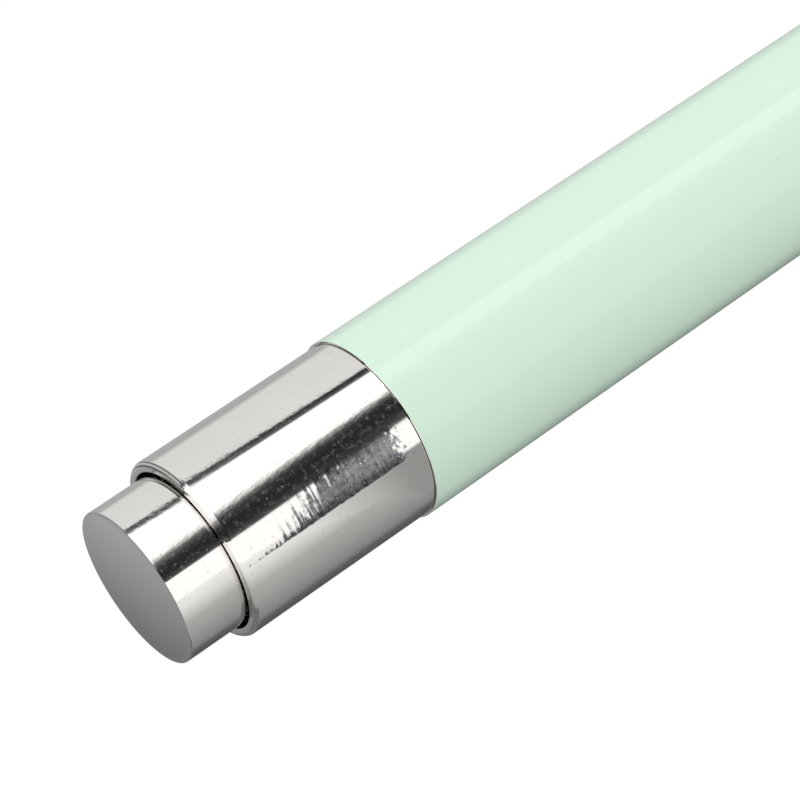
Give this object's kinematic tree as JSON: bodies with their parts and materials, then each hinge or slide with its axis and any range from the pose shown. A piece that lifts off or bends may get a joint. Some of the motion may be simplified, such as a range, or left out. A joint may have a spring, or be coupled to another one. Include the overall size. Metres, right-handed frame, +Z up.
{
  "type": "retractable highlighter",
  "caption": "Retractable chisel-tip highlighter with a push button in a chrome tail collar, a mint lacquered metal barrel and a chrome nose that unscrews.",
  "frame": {"origin": "under the middle of the pen, on the surface that it lies on", "axes": "+X along the pen from the push button to the nib, +Z up, the pen lying on its side"},
  "size_m": [0.141, 0.014, 0.014],
  "materials": {
    "mint_lacquer": "glossy",
    "bright_chrome": "polished",
    "satin_chrome": "satin",
    "brass": "machined",
    "spring_steel": "drawn",
    "white_moulding": "moulded",
    "grey_moulding": "moulded",
    "natural_tube": "extruded",
    "ink_fibre": "felt",
    "seal_rubber": "matte",
    "silicone": "satin"
  },
  "bodies": {
    "shell": {"barrel": "mint_lacquer", "rear_collar": "bright_chrome", "coupling_sleeve": "brass", "cam_housing": "grey_moulding", "front_bush": "brass", "return_spring": "spring_steel"},
    "button": {"push_button": "satin_chrome", "button_core": "white_moulding"},
    "cartridge": {"tail_plug": "grey_moulding", "ink_tube": "natural_tube", "ink_filler": "ink_fibre", "nib_holder": "grey_moulding", "nib": "ink_fibre", "holder_o_ring": "seal_rubber"},
    "rotor": {"cam_rotor": "white_moulding"},
    "nose_ring": {"trim_ring": "bright_chrome", "nose_o_ring": "seal_rubber"},
    "nose": {"nose_cone": "bright_chrome", "spring_washer": "spring_steel", "seal_retainer": "grey_moulding", "lip_left": "silicone", "lip_right": "silicone"}
  },
  "joints": [
    {"name": "button_press", "type": "slide", "parent": "shell", "child": "button", "axis": [1, 0, 0], "range_m": [0, 0.0045], "stiffness_N_per_m": 250, "springref_m": -0.004, "deforming": ["return_spring", "lip_left", "lip_right"]},
    {"name": "cartridge_advance", "type": "slide", "parent": "shell", "child": "cartridge", "axis": [1, 0, 0], "range_m": [0, 0.0045]},
    {"name": "rotor_turn", "type": "hinge", "parent": "cartridge", "child": "rotor", "pos_m": [-0.043, 0, 0.007], "axis": [1, 0, 0], "range_deg": [0, 22.5]},
    {"name": "nose_travel", "type": "slide", "parent": "shell", "child": "nose_ring", "axis": [1, 0, 0], "range_m": [0, 0.004]},
    {"name": "nose_unscrew", "type": "hinge", "parent": "nose_ring", "child": "nose", "pos_m": [0.0478, 0, 0.007], "axis": [1, 0, 0], "range_deg": [0, 1800]}
  ],
  "couplings": [
    {"joint": "cartridge_advance", "follows": "button_press", "ratio": 1},
    {"joint": "rotor_turn", "follows": "button_press", "rad_per_m": 87.266},
    {"joint": "nose_travel", "follows": "nose_unscrew", "m_per_rad": 0.00012732}
  ]
}
